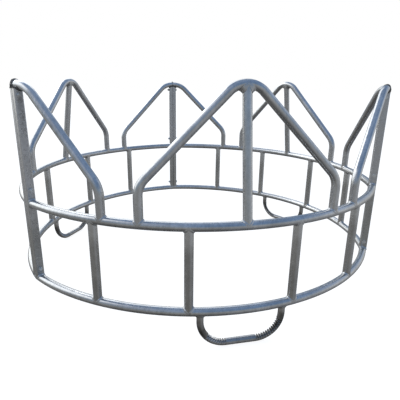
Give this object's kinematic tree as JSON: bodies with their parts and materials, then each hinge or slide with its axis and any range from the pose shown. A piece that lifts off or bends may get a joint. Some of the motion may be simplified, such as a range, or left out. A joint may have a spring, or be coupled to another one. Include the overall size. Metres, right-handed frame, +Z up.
{
  "type": "hay rack feeder",
  "caption": "Ring-shaped hay feeder of galvanised round tube: bolted sections with upper and lower rails, uprights and peaked hoops that part the animals' heads, on U-shaped feet.",
  "frame": {"origin": "middle of the bounding box in plan, on the ground under the three feet", "axes": "+Z up; the middle of the front section faces -Y; +X to the right seen from the front"},
  "size_m": [2.2288, 2.2522, 1.223],
  "materials": {
    "tube_steel": "hot-dip galvanised, satin with a fine spangle",
    "post_steel": "hot-dip galvanised, dull satin",
    "fastener": "zinc plated, satin"
  },
  "bodies": {
    "root": {"front_upper_rail": "tube_steel", "front_lower_rail": "tube_steel", "front_upright_1": "tube_steel", "front_upright_2": "tube_steel", "front_upright_3": "tube_steel", "front_upright_4": "tube_steel", "front_full_hoop": "tube_steel", "front_centre_post": "tube_steel", "front_left_half_hoop": "tube_steel", "front_right_half_hoop": "tube_steel", "front_left_end_post": "post_steel", "front_right_end_post": "post_steel", "front_foot": "tube_steel", "right_upper_rail": "tube_steel", "right_lower_rail": "tube_steel", "right_upright_1": "tube_steel", "right_upright_2": "tube_steel", "right_upright_3": "tube_steel", "right_upright_4": "tube_steel", "right_full_hoop": "tube_steel", "right_centre_post": "tube_steel", "right_left_half_hoop": "tube_steel", "right_right_half_hoop": "tube_steel", "right_left_end_post": "post_steel", "right_right_end_post": "post_steel", "right_foot": "tube_steel", "left_upper_rail": "tube_steel", "left_lower_rail": "tube_steel", "left_upright_1": "tube_steel", "left_upright_2": "tube_steel", "left_upright_3": "tube_steel", "left_upright_4": "tube_steel", "left_full_hoop": "tube_steel", "left_centre_post": "tube_steel", "left_left_half_hoop": "tube_steel", "left_right_half_hoop": "tube_steel", "left_left_end_post": "post_steel", "left_right_end_post": "post_steel", "left_foot": "tube_steel", "right_joint_lower_bolt": "fastener", "right_joint_lower_nut": "fastener", "right_joint_middle_bolt": "fastener", "right_joint_middle_nut": "fastener", "right_joint_upper_bolt": "fastener", "right_joint_upper_nut": "fastener", "rear_joint_lower_bolt": "fastener", "rear_joint_lower_nut": "fastener", "rear_joint_middle_bolt": "fastener", "rear_joint_middle_nut": "fastener", "rear_joint_upper_bolt": "fastener", "rear_joint_upper_nut": "fastener", "left_joint_lower_bolt": "fastener", "left_joint_lower_nut": "fastener", "left_joint_middle_bolt": "fastener", "left_joint_middle_nut": "fastener", "left_joint_upper_bolt": "fastener", "left_joint_upper_nut": "fastener"}
  },
  "joints": []
}
